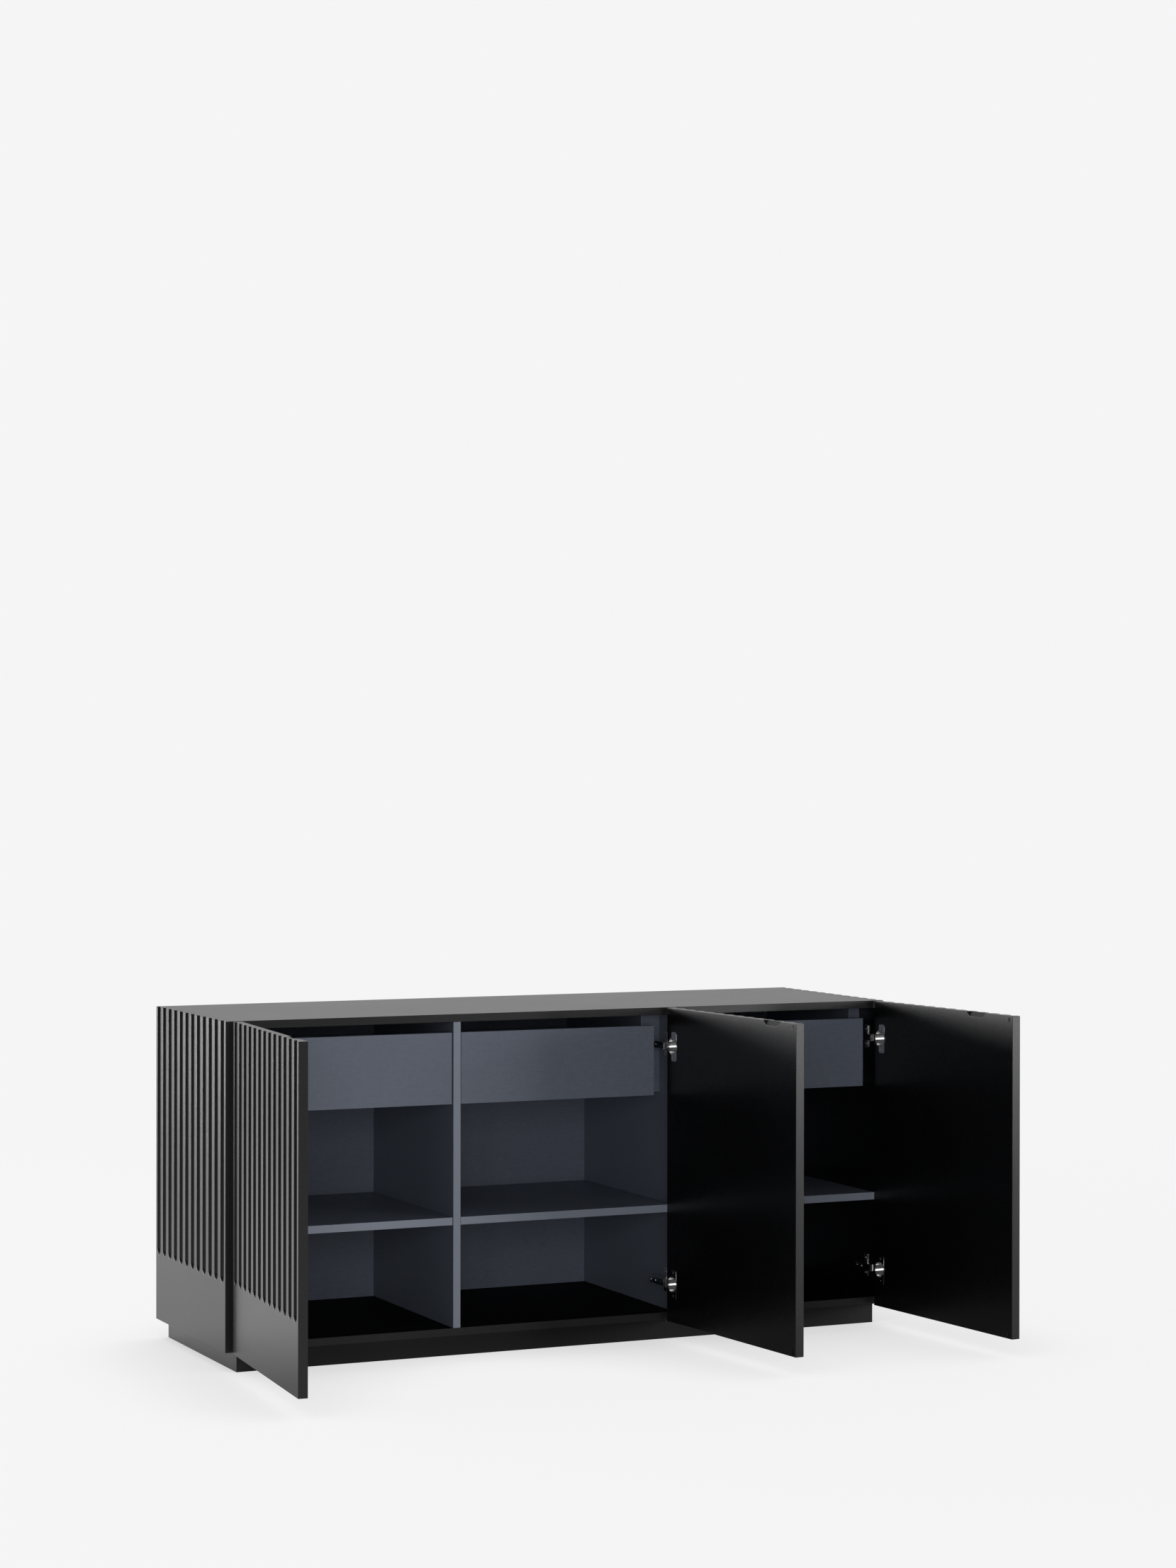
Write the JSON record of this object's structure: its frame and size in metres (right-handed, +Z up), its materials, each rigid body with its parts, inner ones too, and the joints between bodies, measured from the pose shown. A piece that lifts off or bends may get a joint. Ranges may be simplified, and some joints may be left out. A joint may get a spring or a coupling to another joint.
{
  "type": "sideboard buffet",
  "caption": "Long low sideboard on a recessed plinth, with vertically fluted hinged doors, inner drawers on runners and shelves behind them.",
  "frame": {"origin": "on the floor, at the middle of the carcass footprint, on the underside of the plinth's middle rail", "axes": "+X to the right along the front, +Y from the door side to the back, +Z up"},
  "size_m": [1.5592, 0.9708, 0.7],
  "materials": {
    "black_lacquer": "matte black lacquered board, fluted on the doors and sides",
    "graphite_melamine": "smooth matte blue-grey melamine",
    "back_board": "thin laminated hardboard",
    "nickel_steel": "nickel plated, satin",
    "runner_steel": "epoxy coated, satin",
    "nylon": "moulded",
    "clear_bumper": "translucent silicone",
    "beech": "raw turned beech"
  },
  "bodies": {
    "cabinet": {"left_side_panel": "black_lacquer", "right_side_panel": "black_lacquer", "top_panel": "black_lacquer", "bottom_panel": "black_lacquer", "left_partition": "graphite_melamine", "right_partition": "graphite_melamine", "back_panel": "back_board", "plinth_front_rail": "black_lacquer", "plinth_back_rail": "black_lacquer", "plinth_left_rail": "black_lacquer", "plinth_right_rail": "black_lacquer", "plinth_middle_rail": "black_lacquer", "left_shelf": "graphite_melamine", "middle_shelf": "graphite_melamine", "right_shelf": "graphite_melamine", "shelf_pins": "nickel_steel", "left_packer": "graphite_melamine", "middle_packer": "graphite_melamine", "right_packer": "graphite_melamine", "hinge_mounting_plates": "nickel_steel", "hinge_arms": "nickel_steel", "hinge_plate_screws": "nickel_steel", "cam_locks": "nickel_steel", "connector_bolts": "nickel_steel", "wooden_dowels": "beech", "back_panel_screws": "nickel_steel", "cabinet_runners": "runner_steel", "cabinet_runner_rollers": "nylon"},
    "left_door": {"left_door_panel": "black_lacquer", "left_door_hinge_cups": "nickel_steel", "left_door_hinge_cup_screws": "nickel_steel", "left_door_bumpers": "clear_bumper"},
    "middle_door": {"middle_door_panel": "black_lacquer", "middle_door_hinge_cups": "nickel_steel", "middle_door_hinge_cup_screws": "nickel_steel", "middle_door_bumpers": "clear_bumper"},
    "right_door": {"right_door_panel": "black_lacquer", "right_door_hinge_cups": "nickel_steel", "right_door_hinge_cup_screws": "nickel_steel", "right_door_bumpers": "clear_bumper"},
    "left_drawer": {"left_drawer_front": "graphite_melamine", "left_drawer_left_side": "graphite_melamine", "left_drawer_right_side": "graphite_melamine", "left_drawer_back": "graphite_melamine", "left_drawer_bottom": "back_board", "left_drawer_runners": "runner_steel"},
    "middle_drawer": {"middle_drawer_front": "graphite_melamine", "middle_drawer_left_side": "graphite_melamine", "middle_drawer_right_side": "graphite_melamine", "middle_drawer_back": "graphite_melamine", "middle_drawer_bottom": "back_board", "middle_drawer_runners": "runner_steel"},
    "right_drawer": {"right_drawer_front": "graphite_melamine", "right_drawer_left_side": "graphite_melamine", "right_drawer_right_side": "graphite_melamine", "right_drawer_back": "graphite_melamine", "right_drawer_bottom": "back_board", "right_drawer_runners": "runner_steel"}
  },
  "joints": [
    {"name": "left_door_hinge", "type": "hinge", "parent": "cabinet", "child": "left_door", "pos_m": [-0.7405, -0.251, 0.37], "axis": [0, 0, -1], "range_deg": [-94.7, 0]},
    {"name": "middle_door_hinge", "type": "hinge", "parent": "cabinet", "child": "middle_door", "pos_m": [0.2405, -0.251, 0.37], "axis": [0, 0, 1], "range_deg": [-94.7, 0]},
    {"name": "right_door_hinge", "type": "hinge", "parent": "cabinet", "child": "right_door", "pos_m": [0.7405, -0.251, 0.37], "axis": [0, 0, 1], "range_deg": [-94.7, 0]},
    {"name": "left_drawer_slide", "type": "slide", "parent": "cabinet", "child": "left_drawer", "axis": [0, -1, 0], "range_m": [0, 0.268]},
    {"name": "middle_drawer_slide", "type": "slide", "parent": "cabinet", "child": "middle_drawer", "axis": [0, -1, 0], "range_m": [0, 0.268]},
    {"name": "right_drawer_slide", "type": "slide", "parent": "cabinet", "child": "right_drawer", "axis": [0, -1, 0], "range_m": [0, 0.268]}
  ]
}
